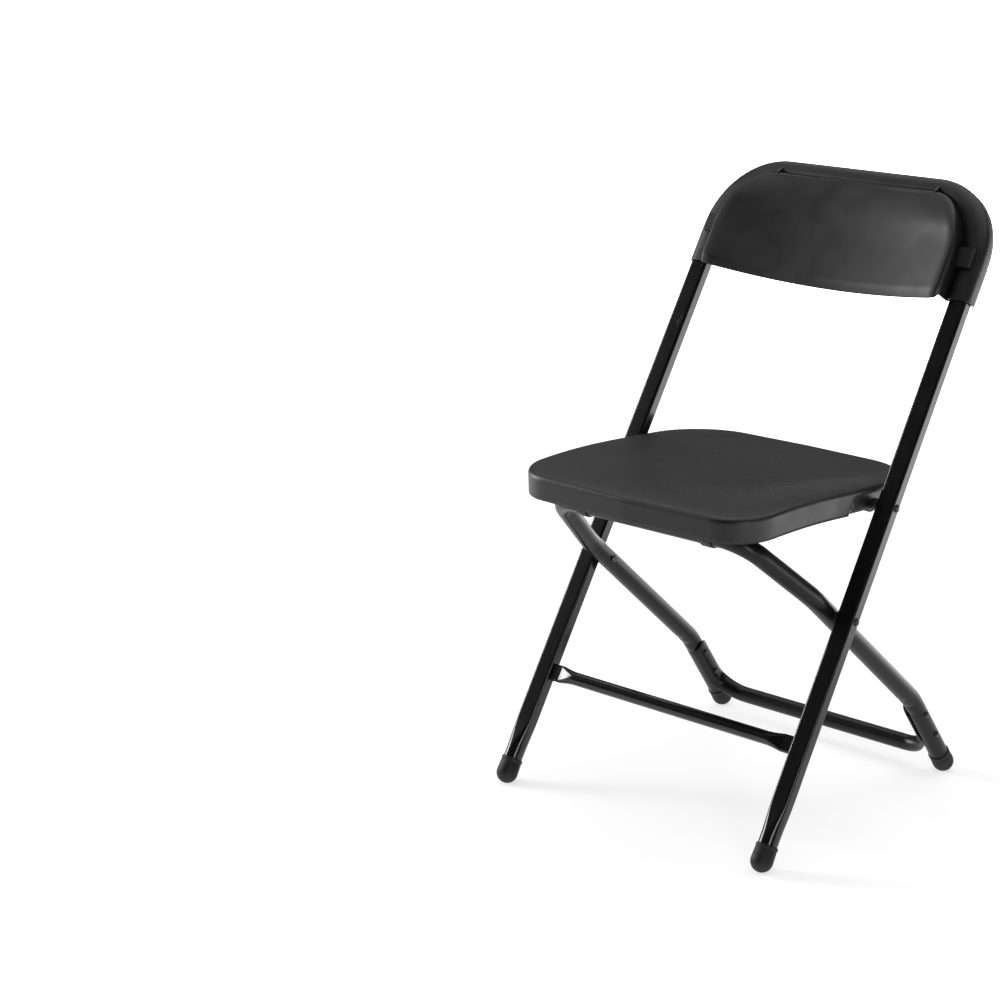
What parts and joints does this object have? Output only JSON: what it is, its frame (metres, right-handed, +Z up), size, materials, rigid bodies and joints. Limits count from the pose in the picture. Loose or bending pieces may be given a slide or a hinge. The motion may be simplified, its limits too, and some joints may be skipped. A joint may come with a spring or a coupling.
{
  "type": "folding chair",
  "caption": "Folding side chair: moulded plastic seat and backrest on two crossed tube frames; the seat tips up and the rear legs close against the front legs.",
  "frame": {"origin": "on the floor, under the middle of the open chair's bounding box", "axes": "+Z up; the sitter faces -Y; +X is the sitter's left"},
  "size_m": [0.4562, 0.502, 0.788],
  "materials": {
    "frame_paint": "glossy black powder coat with a fine speckle",
    "seat_plastic": "satin charcoal black moulded plastic with a fine grain",
    "foot_plastic": "matte black foot cap",
    "rivet_metal": "blackened steel rivet",
    "small_plastic": "black nylon"
  },
  "bodies": {
    "front_frame": {"front_frame_tube": "frame_paint", "front_crossbar": "frame_paint", "backrest_shell": "seat_plastic", "front_foot_left": "foot_plastic", "front_foot_right": "foot_plastic", "stacking_bumper_left": "small_plastic", "stacking_bumper_right": "small_plastic", "backrest_rivet_left": "rivet_metal", "backrest_rivet_right": "rivet_metal", "seat_pivot_rivet_left": "rivet_metal", "seat_pivot_rivet_right": "rivet_metal", "seat_pivot_spacer_left": "small_plastic", "seat_pivot_spacer_right": "small_plastic", "cross_pivot_rivet_left": "rivet_metal", "cross_pivot_rivet_right": "rivet_metal", "cross_pivot_washer_left": "small_plastic", "cross_pivot_washer_right": "small_plastic"},
    "seat": {"seat_pan": "seat_plastic", "seat_guide_left": "small_plastic", "seat_guide_right": "small_plastic"},
    "rear_frame": {"rear_frame_tube": "frame_paint", "rear_brace": "frame_paint", "rear_foot_left": "foot_plastic", "rear_foot_right": "foot_plastic", "slide_sleeve_left": "small_plastic", "slide_sleeve_right": "small_plastic", "brace_rivet_upper_left": "rivet_metal", "brace_rivet_upper_right": "rivet_metal", "brace_rivet_lower_left": "rivet_metal", "brace_rivet_lower_right": "rivet_metal"}
  },
  "joints": [
    {"name": "seat_fold", "type": "hinge", "parent": "front_frame", "child": "seat", "pos_m": [0, 0.01281, 0.41078], "axis": [-1, 0, 0], "range_deg": [0, 121]},
    {"name": "rear_leg_fold", "type": "hinge", "parent": "front_frame", "child": "rear_frame", "pos_m": [0, -0.06671, 0.28182], "axis": [-1, 0, 0], "range_deg": [0, 73.3]}
  ],
  "couplings": [
    {"joint": "rear_leg_fold", "follows": "seat_fold", "ratio": 0.605}
  ]
}
